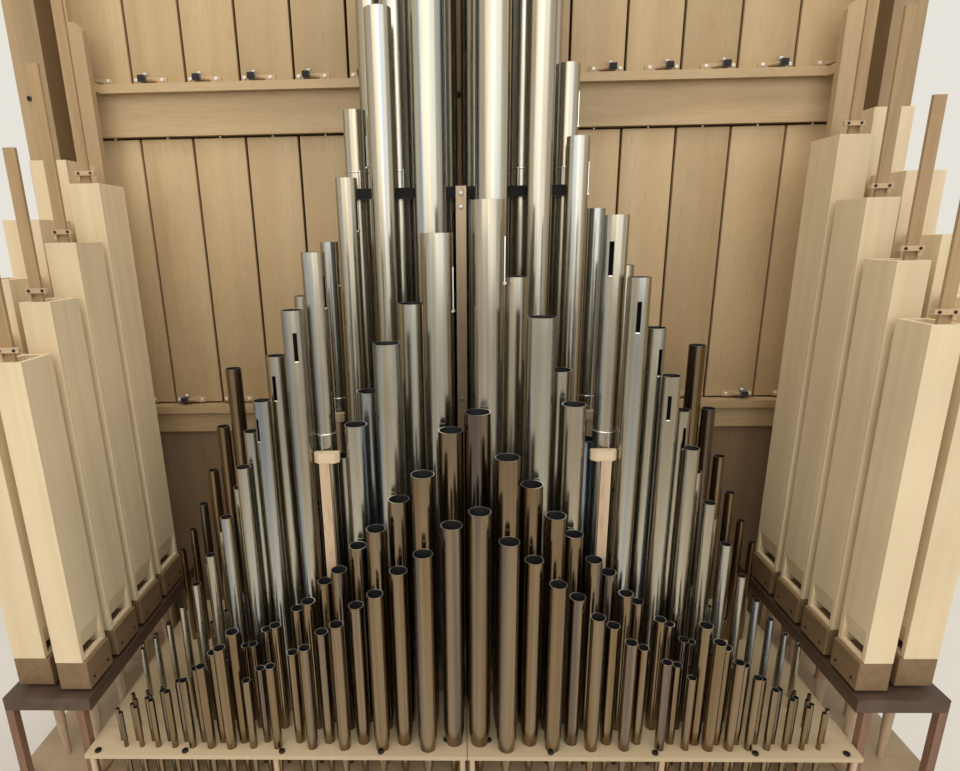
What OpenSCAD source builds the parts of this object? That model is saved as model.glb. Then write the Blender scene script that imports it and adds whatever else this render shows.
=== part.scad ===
// Pipe organ: a slider chest with six ranks of metal pipes, two rows of open wooden pipes at
// each side, and behind them a swell box whose front has two tiers of upright shades.
// X runs to the right, Y from the front to the back, Z up. The origin is on the ground in the
// middle of the plan. Sizes are in millimetres.

/* [Overall] */
// Depth from the bung boards to the back of the swell box
overall_depth = 1800; // [1650:10:2400]
// Height of the pipe rack's top over the ground
rack_top = 620; // [560:10:900]

/* [Wind-chest] */
// Half the width of the rack boards
rack_half = 959; // [940:1:1000]
// Depth of the rack boards from front to back
rack_depth = 676; // [674:1:720]
// Thickness of the rack boards
rack_t = 12; // [9:1:20]
// Clear height between the toe boards and the rack boards
rack_gap = 108; // [80:1:160]
// Thickness of the toe boards
toe_t = 30; // [20:1:45]
// Height of the wind-chests under the toe boards
chest_h = 170; // [120:5:240]
// Thickness of the bung boards on the chests' fronts
bung_t = 10; // [8:1:16]
// Slit between the left and right boards
board_slit = 2; // [1:0.5:5]

/* [Grooves] */
// Pipes in each full rank on one side
side_notes = 27; // [26:1:27]
// Distance of the first pipe from the middle
groove_first = 32; // [32:1:36]
// Spacing of the narrowest grooves
groove_min = 18.6; // [18.4:0.1:19.2]
// How much wider the first spacing is
groove_extra = 47.5; // [47:0.5:49]
// Ratio from one extra width to the next
groove_ratio = 0.869; // [0.868:0.001:0.872]
// Extra width over the inner bearer
bearer_gap = 17.8; // [17:0.1:19]
// Groove after which the inner bearer comes
bearer_after = 8; // [8:1:8]

/* [Metal pipes] */
// Wall of a metal pipe
pipe_wall = 1; // [0.8:0.1:1.5]
// Radius of a pipe's toe
toe_r = 5; // [4:0.5:6]
// Semitones over which a pipe's diameter halves
halving = 16.5; // [16:0.5:17]
// Height of the short pipes' mouths over the rack
mouth_up = 40; // [35:1:50]
// Height of the long pipes' mouths over the rack
long_mouth_up = 58; // [50:1:70]
// Height of a mouth as a share of the pipe's diameter
cut_up = 0.22; // [0.15:0.01:0.3]
// Clearance of a foot in its rack hole
rack_clear = 0.5; // [0.3:0.1:0.8]

/* [Superoctave] */
// Body length of its first pipe
super_len = 595; // [560:5:640]
// Diameter of its first pipe
super_d = 53; // [48:1:54]
// Distance of its row from the rack's front edge
super_row = 40; // [39:1:41]
// Half the stagger of its pipes
super_stagger = 10; // [9:1:11]
// Groove at which it breaks back an octave
super_break = 12; // [12:1:14]

/* [Quint] */
// Body length of its first pipe
quint_len = 793; // [770:1:820]
// Diameter of its first pipe
quint_d = 63; // [58:1:63]
// Distance of its row from the rack's front edge
quint_row = 111; // [110:1:112]
// Half the stagger of its pipes
quint_stagger = 12.5; // [12:0.5:13]
// Distance of its first pair from the rack's front edge
quint_first_row = 176; // [174:1:177]

/* [Octave] */
// Body length of its first pipe
octave_len = 1256; // [1220:1:1300]
// Diameter of its first pipe
octave_d = 80; // [74:1:80]
// Shortening of every second long pipe
octave_trim = 0.966; // [0.94:0.002:1]
// Distance of its treble row from the rack's front edge
octave_row = 245; // [244:1:247]
// Stagger of its treble row
octave_stagger = 32; // [30:1:34]

/* [Gamba] */
// Body length of its first pipe
gamba_len = 2433; // [2350:1:2450]
// Diameter of its first pipe
gamba_d = 93; // [88:1:93]
// Distance of its front row from the rack's front edge
gamba_row = 166; // [165:1:168]
// Distance from its front row to its back row
gamba_stagger = 40; // [39:1:41]
// Distance of its bass pipes from the rack's front edge
gamba_bass_row = 625; // [624:1:626]
// Groove at which its treble starts
gamba_treble = 6; // [6:1:6]

/* [Principal] */
// Body length of its first pipe
principal_len = 2631; // [2560:1:2640]
// Diameter of its first pipe
principal_d = 88; // [84:1:88]
// Semitones over which its length halves
principal_halving = 11.1; // [11:0.1:12]
// Distance of its front row from the rack's front edge
principal_row = 425; // [424:1:426]
// Distance from its front row to its back row
principal_stagger = 110; // [109:1:111]

/* [Violone] */
// First and last groove of this short rank
violone_first = 15; // [15:2:17]
violone_last = 25; // [21:2:25]
// Body length of its first pipe
violone_len = 878; // [840:1:900]
// Diameter of its first pipe
violone_d = 45; // [40:1:46]
// Distance of its row from the rack's front edge
violone_row = 460; // [450:1:470]

/* [Stays] */
// Height of the felted stay bar's middle over the rack
bar_up = 1347; // [1300:1:1400]
// Half the length of the felted stay bar
bar_half = 273; // [270:1:290]
// Distance of the felted bar's front from the rack's front edge
bar_row = 471; // [470:1:472]
// Height and depth of the felted bar
bar_h = 26; // [20:1:32]
bar_t = 22; // [18:1:22]
// Width and depth of the middle stay post
stay_post_w = 27; // [22:1:30]
// Width and depth of a small block's post
block_post_w = 24; // [18:1:24]
block_post_t = 20; // [12:1:20]
// How far outwards that post stands under its block
block_post_out = 6; // [4:1:7]
// Depth and height of a small stay block
block_t = 24; // [20:1:26]
block_h = 24; // [18:1:30]
// Cut at each front corner of a block
block_cut = 10; // [6:1:12]
// Radius of a hook's wire and its distance from the pipe
hook_r = 1.5; // [1:0.5:2]
hook_clear = 0.3; // [0.2:0.1:0.5]
// Height of the hooks over the small blocks and over the felted bar
hook_up = 38; // [30:1:50]
bar_hook_up = 45; // [40:1:50]
// Turn of the hooks on the felted bar towards the middle
hook_turn = 16; // [10:1:20]

/* [Wooden pipes] */
// Wooden pipes in each row of a side
wood_row_count = 4; // [3:1:4]
// Inner faces of the inner and the outer row from the middle
wood_inner_x = 955; // [953:1:965]
wood_outer_x = 1060; // [1055:1:1070]
// Rear faces of the two rows from the rack's front edge
wood_inner_rear = 598; // [590:1:610]
wood_outer_rear = 655; // [645:1:670]
// Depth of the longest pipe in each row from front to back
wood_inner_depth = 128; // [124:1:132]
wood_outer_depth = 139; // [134:1:142]
// Width of the longest pipe in each row
wood_inner_width = 84; // [80:1:86]
wood_outer_width = 101; // [96:1:102]
// Each pipe's section against the one behind it
wood_taper = 0.935; // [0.92:0.005:0.95]
// Gap between neighbouring wooden pipes
wood_gap = 27; // [20:1:32]
// Length of the longest wooden pipe with its cap
wood_len = 1385; // [1300:5:1450]
// Each pipe's length against the one behind it
wood_ratio = 0.879; // [0.86:0.001:0.9]
// Share of that length in the inner row and at the left
wood_inner_share = 0.95; // [0.93:0.01:1]
wood_left_share = 0.94; // [0.92:0.01:1]
// Wall of a wooden pipe
wood_wall = 13; // [9:1:14]
// Height of the wooden pipes' caps over the rack
wood_up = 150; // [140:1:165]
// Height of a cap
cap_h = 78; // [60:1:90]
// How far a cap stands out from its pipe's inner face
cap_out = 9; // [6:1:10]
// Height of a wooden pipe's mouth
wood_mouth_h = 22; // [14:1:28]
// Height of a mouth's sill over the cap
wood_sill_h = 8; // [4:1:12]
// Height of the bevel over a wooden pipe's mouth
wood_lip_h = 50; // [40:1:80]
// Radii of a wooden pipe's foot at its toe and at its top
wood_toe_r = 9; // [7:1:11]
wood_foot_r = 16; // [14:1:18]

/* [Tuning slats] */
// Height of the longest slat over its pipe's top
slat_up = 470; // [400:5:500]
// How much lower each next slat stands over its pipe
slat_step = 68; // [50:1:75]
// Length of a slat inside its pipe
slat_in = 90; // [60:5:120]
// Width and thickness of a slat
slat_w = 27; // [20:1:32]
slat_t = 8; // [5:1:10]
// Height of a slat's clamp over the pipe's top
clamp_up = 20; // [12:1:30]
// Width, depth and height of a clamp
clamp_w = 50; // [40:1:54]
clamp_t = 12; // [8:1:12]
clamp_h = 11; // [8:1:16]
// How far a clamp sits off its slat's middle
clamp_off = 8; // [4:1:10]

/* [Side chests] */
// Clearance between the middle and the side chests
side_clear = 4; // [2:1:10]
// Thickness of the dark rack board of the wooden pipes
side_rack_t = 36; // [20:1:42]
// Top of that board over the metal pipes' rack
side_rack_up = 140; // [100:1:144]
// How far that board stands out over the middle chest
side_rack_out = 20; // [10:1:24]
// Distance of the stay posts beside the wooden pipes from the rack's front edge
side_post_row = 560; // [540:1:600]
// Width and depth of those posts
side_post_w = 25; // [20:1:30]
side_post_t = 40; // [30:1:50]
// Height of those posts over the rack
side_post_up = 1446; // [1300:1:1500]

/* [Swell front] */
// Shades in each tier
shade_count = 14; // [14:1:14]
// Spacing of the shades
shade_pitch = 168; // [166:1:170]
// Gap between closed shades
shade_gap = 8; // [7.5:0.5:12]
// Thickness of a shade
shade_t = 24; // [20:1:26]
// Height of the shades in each tier
shade_h = 859; // [780:1:880]
// Running clearance over and under a shade
shade_clear = 6; // [5:0.5:8]
// Front of the shades from the rack's front edge
shade_row = 847; // [840:1:860]
// Clearance between the outermost shades' places and the end posts
end_gap = 3; // [3:0.5:8]
// Height of the lower ledge's top over the rack
ledge_up = 682; // [660:1:700]
// Thickness of the ledges
ledge_t = 25; // [20:1:30]
// How far the ledges stand out before the shades
ledge_out = 45; // [45:1:50]
// Height of the middle rail
rail_h = 120; // [100:1:150]
// Height of the rail under the lower ledge
low_rail_h = 74; // [60:1:90]
// Height of the top rail
top_rail_h = 120; // [90:5:180]
// Depth of the rails
rail_d = 60; // [50:1:70]
// Radius and length of a shade's pivot pins
pivot_r = 5; // [4:0.5:7]
pivot_len = 16; // [14:1:20]
// Running clearance of a pivot in its hole
pivot_clear = 0.08; // [0.05:0.01:0.1]
// Length, thickness and height of the fitting at a shade's foot
fitting_l = 104; // [90:1:104]
fitting_t = 8; // [5:1:8]
fitting_h = 20; // [14:1:24]
// Side and depth of the felt block beside it
felt_w = 24; // [18:1:26]
felt_d = 26; // [18:1:28]

/* [Swell box] */
// Thickness of the box's walls, roof and floor
box_t = 30; // [24:1:40]
// Width of the box's front posts
post_w = 30; // [30:1:60]
// Thickness of the base panels
panel_t = 18; // [14:1:24]
// Width and depth of the stiles between the base panels
stile_w = 60; // [50:1:80]
stile_d = 50; // [40:1:60]
// Height of the plinth
plinth_h = 80; // [60:1:120]

/* [Case uprights] */
// Thickness of the boards that stand before the ledges
upright_t = 25; // [18:1:28]
// Gap from those at the ends to the ledges
upright_gap = 29; // [26:1:32]
// Inner edge of the guard boards from the middle
guard_x = 1088; // [1084:1:1092]
// Width of a guard board and of the corner board beside it
guard_w = 36; // [30:1:44]
corner_w = 41; // [36:1:60]
// Height of the guard boards over the rack
guard_up = 1850; // [1750:5:1950]
// Width of the middle mullion
mullion_w = 24; // [20:1:28]

/* [Wings] */
// Width of the wings beside the swell box
wing_w = 186; // [150:1:240]
// Width and depth of the recess between box and wing
recess_w = 86; // [60:1:100]
recess_d = 120; // [60:5:160]
// Thickness of the wings' boards
wing_t = 20; // [15:1:25]
// Distance of the wings behind the shades' fronts
wing_back = 33; // [33:1:60]

/* [Frame] */
// Width and height of the ground beams
beam_w = 90; // [70:5:100]
beam_h = 70; // [60:5:75]
// Width of the chest's legs
leg_w = 80; // [60:5:90]

/* [Hidden] */
$fn = 48;
SIDES = [-1, 1];
shade_columns = [for (i = [1:shade_count]) i];
function shade_name(i) = str("swell_shades_", i);

rack_front = -overall_depth / 2 + bung_t;
toe_top = rack_top - rack_t - rack_gap;
chest_top = toe_top - toe_t;
chest_bottom = chest_top - chest_h;
function row_y(row) = rack_front + row;

// Grooves: the spacing shrinks towards the treble at both ends of the chest.
function groove_step(k) =
    groove_min + groove_extra * pow(groove_ratio, k) + (k == bearer_after ? bearer_gap : 0);
function groove_x(k) = k == 0 ? groove_first : groove_x(k - 1) + groove_step(k - 1);
// Semitones of a pipe over its rank's first: even ones stand right, odd ones left.
function semitone(k, side) = 2 * k + (side < 0 ? 1 : 0);
function scaled_len(first, n) = first * pow(2, -n / 12);
function scaled_d(first, n) = first * pow(2, -n / halving);
function zigzag(k) = k % 2 == 0 ? 1 : -1;

// Every pipe is [x, y, diameter, body length, mouth height over the rack, tuning slot].
function pipe_at(x, row, d, len, up, slot) = [x, row_y(row), d, len, up, slot];

function super_note(k, side) = semitone(k, side) - (k >= super_break ? 12 : 0);
superoctave = [for (s = SIDES, k = [0:side_notes - 1])
    pipe_at(s * groove_x(k), super_row + super_stagger * zigzag(k),
            scaled_d(super_d, super_note(k, s)), scaled_len(super_len, super_note(k, s)),
            mouth_up, false)];

quint = [for (s = SIDES, k = [0:side_notes - 1])
    pipe_at(s * groove_x(k), k == 0 ? quint_first_row : quint_row + quint_stagger * zigzag(k),
            scaled_d(quint_d, semitone(k, s)), scaled_len(quint_len, semitone(k, s)),
            mouth_up, false)];

// The octave's longest pipes a side are conveyed off their grooves.
octave_places = [[60, 252], [125, 297], [179, 184], [236, 254], [260, 178], [304, 249], [345, 287]];
octave = concat(
    [for (s = SIDES, k = [0:len(octave_places) - 1])
        pipe_at(s * octave_places[k].x, octave_places[k].y,
                scaled_d(octave_d, semitone(k, s)),
                scaled_len(octave_len, semitone(k, s)) * (k % 2 == 1 ? octave_trim : 1),
                long_mouth_up, k == 0)],
    [for (s = SIDES, k = [len(octave_places):side_notes - 1])
        pipe_at(s * groove_x(k), octave_row + (k % 2 == 0 ? octave_stagger : 0),
                scaled_d(octave_d, semitone(k, s)),
                scaled_len(octave_len, semitone(k, s)), mouth_up, false)]);

gamba_bass_x = [50, 147, 237];
// Some pipes of the back row step off their grooves to pass the stay blocks and the bearer.
gamba_shift = [for (k = [0:side_notes - 1]) k == 6 ? -9 : k == 8 ? 21 : k == 10 ? 14 : 0];
gamba = concat(
    [for (s = SIDES, k = [0:len(gamba_bass_x) - 1])
        pipe_at(s * gamba_bass_x[k], gamba_bass_row, scaled_d(gamba_d, semitone(k, s)),
                scaled_len(gamba_len, semitone(k, s)), long_mouth_up, true)],
    [for (s = SIDES, k = [gamba_treble:side_notes - 1])
        pipe_at(s * (groove_x(k) + gamba_shift[k]), gamba_row + (k % 2 == 0 ? gamba_stagger : 0),
                scaled_d(gamba_d, semitone(k, s)), scaled_len(gamba_len, semitone(k, s)),
                long_mouth_up, k < 18)]);

// The principal's eight longest pipes a side stand in two rows: place and row.
principal_places = [[79, 0], [52, 1], [165, 1], [196, 0], [279, 1], [292, 0], [367, 1], [425, 0]];
principal = [for (s = SIDES, k = [0:len(principal_places) - 1])
    pipe_at(s * principal_places[k].x, principal_row + principal_stagger * principal_places[k].y,
            scaled_d(principal_d, semitone(k, s)),
            principal_len * pow(2, -semitone(k, s) / principal_halving), long_mouth_up, false)];

violone = [for (s = SIDES, k = [violone_first:2:violone_last])
    pipe_at(s * groove_x(k), violone_row, scaled_d(violone_d, semitone(k - violone_first, s)),
            scaled_len(violone_len, 2 * (k - violone_first) + (s < 0 ? 1 : 0)),
            long_mouth_up, false)];

all_pipes = concat(superoctave, quint, octave, gamba, principal, violone);
function foot_len(p) = rack_top - toe_top + p[4];
function foot_r_at(p, h) = toe_r + (p[2] / 2 - toe_r) * h / foot_len(p);

// Small stay blocks: [x, distance from the rack's front, top over the rack, width]
stay_places = [[331, 160, 740, 60], [364, 486, 744, 38]];

// Swell front
shade_y = row_y(shade_row) + shade_t / 2;
shade_w = shade_pitch - shade_gap;
front_half = shade_count * shade_pitch / 2 + end_gap;
lower_ledge_z = rack_top + ledge_up;
mid_rail_z = lower_ledge_z + shade_h + 2 * shade_clear;
upper_ledge_z = mid_rail_z + rail_h + ledge_t;
top_rail_z = upper_ledge_z + shade_h + 2 * shade_clear;
case_top = top_rail_z + top_rail_h;
low_rail_z = lower_ledge_z - ledge_t - low_rail_h;
ledge_y = row_y(shade_row) - ledge_out;
rail_y = shade_y - rail_d / 2;
box_y = rail_y + rail_d;
box_back_y = overall_depth / 2;
box_half = front_half + post_w;
function shade_x(i) = (i - (shade_count + 1) / 2) * shade_pitch;

// Wooden pipes: row 0 is the inner one, and place 0 is the rearmost.
wood_slots = [for (row = [0:1], i = [0:wood_row_count - 1]) [row, i]];
function wood_depth(row, i) = (row == 0 ? wood_inner_depth : wood_outer_depth) * pow(wood_taper, i);
function wood_w(row, i) = (row == 0 ? wood_inner_width : wood_outer_width) * pow(wood_taper, i);
function wood_rear(row, i) =
    i == 0 ? row_y(row == 0 ? wood_inner_rear : wood_outer_rear)
           : wood_rear(row, i - 1) - wood_depth(row, i - 1) - wood_gap;
function wood_len_at(side, row, i) =
    wood_len * pow(wood_ratio, i) * (row == 0 ? wood_inner_share : 1)
             * (side < 0 ? wood_left_share : 1);
function wood_cx(side, row, i) =
    side * ((row == 0 ? wood_inner_x : wood_outer_x) + wood_w(row, i) / 2);
function wood_cy(row, i) = wood_rear(row, i) - wood_depth(row, i) / 2;
wood_z = rack_top + wood_up;

side_x0 = rack_half + side_clear;
side_x1 = wood_outer_x + wood_outer_width + 2;
side_half = side_x1 + side_post_w + 8;
side_y0 = wood_rear(0, wood_row_count - 1) - wood_depth(0, wood_row_count - 1) - 20;
side_y1 = row_y(wood_outer_rear) + 15;
side_rack_z = rack_top + side_rack_up - side_rack_t;

module slab(x0, x1, y0, y1, z0, z1) {
    translate([x0, y0, z0]) cube([x1 - x0, y1 - y0, z1 - z0]);
}

// A slab on one side of the middle, from x0 outwards to x1
module side_slab(side, x0, x1, y0, y1, z0, z1) {
    slab(side > 0 ? x0 : -x1, side > 0 ? x1 : -x0, y0, y1, z0, z1);
}

// One pipe with its toe at the origin and its mouth towards the back
module flue_pipe(p) {
    d = p[2];
    foot = foot_len(p);
    difference() {
        union() {
            cylinder(h = foot, r1 = toe_r, r2 = d / 2);
            translate([0, 0, foot]) cylinder(h = p[3], d = d);
        }
        translate([0, 0, foot + pipe_wall]) cylinder(h = p[3], r = d / 2 - pipe_wall);
        translate([-d * 0.34, d * 0.3, foot + pipe_wall]) cube([d * 0.68, d, d * cut_up]);
        if (p[5])
            translate([0, -d / 2, foot + p[3] - d * 1.1])
                cube([d * 0.22, d / 2, d * 0.85], center = true);
    }
}

module rank(pipes, tone) {
    color(tone)
        for (p = pipes) translate([p[0], p[1], toe_top]) flue_pipe(p);
}

module superoctave_pipes() { rank(superoctave, "silver"); }
module quint_pipes() { rank(quint, "silver"); }
module octave_pipes() { rank(octave, "gainsboro"); }
module gamba_pipes() { rank(gamba, "lightgrey"); }
module principal_pipes() { rank(principal, "gainsboro"); }
module violone_pipes() { rank(violone, "darkgrey"); }

// Beams from the chests' fronts to the plinth of the swell box
beam_places = [rack_half / 2, side_x0 + beam_w * 0.8];

module ground_beams() {
    color("tan")
        for (s = SIDES, x = beam_places)
            side_slab(s, x - beam_w / 2, x + beam_w / 2, rack_front, rail_y, 0, beam_h);
}

module chest_legs() {
    color("tan")
        for (s = SIDES) {
            for (y = [row_y(60), row_y(rack_depth - 60 - leg_w)])
                side_slab(s, beam_places[0] - leg_w / 2, beam_places[0] + leg_w / 2, y,
                          y + leg_w, beam_h, chest_bottom);
            for (y = [side_y0 + 10, side_y1 - 10 - leg_w / 2])
                side_slab(s, side_x0 + 10, side_half - 10, y, y + leg_w / 2, beam_h,
                          chest_bottom);
        }
}

module half_board(side, z0, z1) {
    side_slab(side, board_slit / 2, rack_half, rack_front, rack_front + rack_depth, z0, z1);
}

module wind_chests() {
    color("burlywood") for (s = SIDES) half_board(s, chest_bottom, chest_top);
}

module bung_boards() {
    count = 3;
    margin = 20;
    w = (rack_half - 2 * margin) / count;
    color("tan")
        for (s = SIDES, i = [0:count - 1])
            side_slab(s, margin + w * i + 6, margin + w * (i + 1) - 6, rack_front - bung_t,
                      rack_front, chest_bottom + margin, chest_top - margin);
}

module toe_boards() {
    color("wheat") for (s = SIDES) half_board(s, chest_top, toe_top);
}

module rack_boards() {
    color("blanchedalmond")
        for (s = SIDES)
            difference() {
                half_board(s, rack_top - rack_t, rack_top);
                for (p = all_pipes)
                    if (sign(p[0]) == s)
                        translate([p[0], p[1], rack_top - rack_t - 1])
                            cylinder(h = rack_t + 2,
                                     r = foot_r_at(p, rack_top - toe_top) + rack_clear);
            }
}

module rack_pillars() {
    pillar_r = 7;
    color("tan")
        for (s = SIDES, x = [12, rack_half / 2, rack_half - 14],
             y = [row_y(9), row_y(rack_depth - 9)])
            translate([s * x, y, toe_top]) cylinder(h = rack_gap, r = pillar_r);
}

module stay_bar() {
    color("black")
        slab(-bar_half, bar_half, row_y(bar_row), row_y(bar_row) + bar_t,
             rack_top + bar_up - bar_h / 2, rack_top + bar_up + bar_h / 2);
}

module stay_posts() {
    color("burlywood") {
        slab(-stay_post_w / 2, stay_post_w / 2, row_y(bar_row) - stay_post_w, row_y(bar_row),
             rack_top, rack_top + bar_up + bar_h / 2);
        for (s = SIDES, q = stay_places)
            side_slab(s, q[0] + block_post_out - block_post_w / 2,
                      q[0] + block_post_out + block_post_w / 2,
                      row_y(q[1]) - block_post_t / 2, row_y(q[1]) + block_post_t / 2,
                      rack_top, rack_top + q[2] - block_h);
    }
}

// Small blocks with their front corners cut away, each carrying a hook
module stay_blocks() {
    color("moccasin")
        for (s = SIDES, q = stay_places)
            translate([s * q[0], row_y(q[1]), rack_top + q[2] - block_h])
                linear_extrude(block_h)
                    polygon([[-q[3] / 2, block_t / 2], [-q[3] / 2, block_cut - block_t / 2],
                             [block_cut - q[3] / 2, -block_t / 2],
                             [q[3] / 2 - block_cut, -block_t / 2],
                             [q[3] / 2, block_cut - block_t / 2], [q[3] / 2, block_t / 2]]);
}

// A wire ring round a pipe, with an arm forwards and a shank down to what carries it
module hook(r, reach, up) {
    ring_r = r + hook_r + hook_clear;
    rotate_extrude() translate([ring_r, 0]) circle(r = hook_r, $fn = 16);
    translate([0, -reach, 0]) rotate([-90, 0, 0]) cylinder(h = reach - ring_r, r = hook_r);
    translate([0, -reach, -up]) cylinder(h = up + hook_r, r = hook_r);
}

// Pipes that a hook holds: [pipe, shank's distance forwards, shank's foot, height, turn]
hooked = concat(
    [for (i = [2, 4], s = [0, 1]) let(p = principal[i + s * len(principal_places)])
        [p, p[1] - row_y(bar_row) - bar_t / 2, rack_top + bar_up + bar_h / 2, bar_hook_up,
         -sign(p[0]) * hook_turn]],
    [for (s = [0, 1]) let(p = gamba[len(gamba_bass_x) * 2 + s * (side_notes - gamba_treble)])
        [p, p[1] - row_y(stay_places[0][1]), rack_top + stay_places[0][2], hook_up, 0]],
    [for (s = [0, 1]) let(p = principal[6 + s * len(principal_places)])
        [p, p[1] - row_y(stay_places[1][1]), rack_top + stay_places[1][2], hook_up, 0]]);

module pipe_hooks() {
    color("silver")
        for (q = hooked)
            translate([q[0][0], q[0][1], q[2] + q[3]]) rotate([0, 0, q[4]])
                hook(q[0][2] / 2, q[1] / cos(q[4]), q[3]);
}

// A square open pipe with its cap's top at the origin and its mouth on the inner side
module wood_pipe(side, row, i) {
    w = wood_w(row, i);
    dp = wood_depth(row, i);
    h = wood_len_at(side, row, i) - cap_h;
    mouth_top = wood_sill_h + wood_mouth_h;
    mirror([side < 0 ? 1 : 0, 0, 0])
        difference() {
            translate([-w / 2, -dp / 2, 0]) cube([w, dp, h]);
            translate([wood_wall - w / 2, wood_wall - dp / 2, -1])
                cube([w - 2 * wood_wall, dp - 2 * wood_wall, h + 2]);
            // mouth and bevelled upper lip
            translate([-w / 2, dp / 2 - wood_wall, 0]) rotate([90, 0, 0])
                linear_extrude(dp - 2 * wood_wall)
                    polygon([[-1, wood_sill_h], [wood_wall + 1, wood_sill_h],
                             [wood_wall + 1, mouth_top], [wood_wall - 3, mouth_top],
                             [0, mouth_top + wood_lip_h], [-1, mouth_top + wood_lip_h]]);
        }
}

module wood_side(side) {
    color("wheat")
        for (q = wood_slots)
            translate([wood_cx(side, q[0], q[1]), wood_cy(q[0], q[1]), wood_z + cap_h])
                wood_pipe(side, q[0], q[1]);
}

module wood_pipes_left() { wood_side(-1); }
module wood_pipes_right() { wood_side(1); }

module wood_pipe_caps() {
    color("peru")
        for (s = SIDES, q = wood_slots) {
            w = wood_w(q[0], q[1]);
            dp = wood_depth(q[0], q[1]);
            translate([wood_cx(s, q[0], q[1]) - s * cap_out / 2, wood_cy(q[0], q[1]),
                       wood_z + cap_h / 2])
                cube([w + cap_out, dp, cap_h], center = true);
        }
}

module wood_pipe_feet() {
    color("burlywood")
        for (s = SIDES, q = wood_slots)
            translate([wood_cx(s, q[0], q[1]), wood_cy(q[0], q[1]), toe_top])
                cylinder(h = wood_z - toe_top, r1 = wood_toe_r, r2 = wood_foot_r);
}

// Slats stand in the inner rows' pipes, against the inside of the front wall.
function slat_y(i) = wood_rear(0, i) - wood_depth(0, i) + wood_wall;
function slat_z(side, i) = wood_z + wood_len_at(side, 0, i);

module tuning_slats() {
    color("peru")
        for (s = SIDES, i = [0:wood_row_count - 1])
            translate([wood_cx(s, 0, i) - slat_w / 2, slat_y(i), slat_z(s, i) - slat_in])
                cube([slat_w, slat_t, slat_in + slat_up - slat_step * i]);
}

module slat_clamps() {
    pin_r = 4;
    color("sienna")
        for (s = SIDES, i = [0:wood_row_count - 1])
            translate([wood_cx(s, 0, i) - s * clamp_off, slat_y(i) - clamp_t,
                       slat_z(s, i) + clamp_up]) {
                translate([-clamp_w / 2, 0, 0]) cube([clamp_w, clamp_t, clamp_h]);
                translate([s * (clamp_w / 2 - pin_r - 1), clamp_t / 2, -clamp_h])
                    cylinder(h = clamp_h + 1, r = pin_r);
            }
}

module side_chests() {
    color("burlywood")
        for (s = SIDES)
            side_slab(s, side_x0, side_half, side_y0, side_y1, chest_bottom, toe_top);
}

// The dark racks that the wooden pipes' feet pass through
module side_racks() {
    color("saddlebrown")
        for (s = SIDES)
            difference() {
                side_slab(s, side_x0 - side_rack_out, side_x1, side_y0, side_y1, side_rack_z,
                          side_rack_z + side_rack_t);
                for (q = wood_slots)
                    translate([wood_cx(s, q[0], q[1]), wood_cy(q[0], q[1]), side_rack_z - 1])
                        cylinder(h = side_rack_t + 2, r = wood_foot_r + rack_clear);
            }
}

// Corner posts under those racks, and a tall stay post beside each outer row
module side_posts() {
    post = 20;
    color("sienna")
        for (s = SIDES) {
            for (x = [side_x0, side_x1 - post], y = [side_y0, side_y1 - post])
                side_slab(s, x, x + post, y, y + post, toe_top, side_rack_z);
            side_slab(s, side_x1 + 2, side_x1 + 2 + side_post_w, row_y(side_post_row),
                      row_y(side_post_row) + side_post_t, toe_top, rack_top + side_post_up);
        }
}

// Guard and corner boards at the ends, and the mullion in the middle
module case_uprights() {
    y = ledge_y - upright_gap - upright_t;
    chamfer = 14;
    color("tan") {
        for (s = SIDES) {
            difference() {
                side_slab(s, guard_x, guard_x + guard_w, y, y + upright_t, 0,
                          rack_top + guard_up);
                translate([s * guard_x, y - 1, rack_top + guard_up]) rotate([0, 45, 0])
                    cube([2 * chamfer, 2 * upright_t + 4, 2 * chamfer], center = true);
            }
            side_slab(s, guard_x + guard_w, guard_x + guard_w + corner_w, y, y + upright_t, 0,
                      case_top);
        }
        slab(-mullion_w / 2, mullion_w / 2, ledge_y - upright_t, ledge_y, 0, case_top);
    }
}

// One column of the swell front: a lower and an upper shade on one upright axis
module one_shade(side) {
    translate([-shade_w / 2, -shade_t / 2, shade_clear]) cube([shade_w, shade_t, shade_h]);
    translate([0, 0, -pivot_len]) cylinder(h = pivot_len + shade_clear, r = pivot_r);
    translate([0, 0, shade_h + shade_clear]) cylinder(h = pivot_len + shade_clear, r = pivot_r);
    // fitting and felt block at the foot of the shade, towards the outside
    translate([side * 26 - fitting_l / 2, -shade_t / 2 - fitting_t, shade_clear])
        cube([fitting_l, fitting_t, fitting_h]);
    translate([side * 42 - felt_w / 2, -shade_t / 2 - fitting_t - felt_d, shade_clear + 2])
        cube([felt_w, felt_d, fitting_h + 2]);
}

module swell_shades(i) {
    side = i <= shade_count / 2 ? -1 : 1;
    color(i % 2 == 0 ? "burlywood" : "tan")
        for (z = [lower_ledge_z, upper_ledge_z])
            translate([shade_x(i), shade_y, z]) one_shade(side);
}

module pivot_holes(z) {
    for (i = shade_columns)
        translate([shade_x(i), shade_y, z - pivot_len - 1])
            cylinder(h = 2 * pivot_len + 2, r = pivot_r + pivot_clear);
}

module rail(z0, z1) {
    slab(-front_half, front_half, rail_y, rail_y + rail_d, z0, z1);
}

module swell_rails() {
    color("burlywood") {
        difference() {
            rail(mid_rail_z, upper_ledge_z - ledge_t);
            pivot_holes(mid_rail_z);
        }
        difference() {
            rail(top_rail_z, case_top);
            pivot_holes(top_rail_z);
        }
        rail(low_rail_z, lower_ledge_z - ledge_t);
        rail(0, plinth_h);
    }
}

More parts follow.
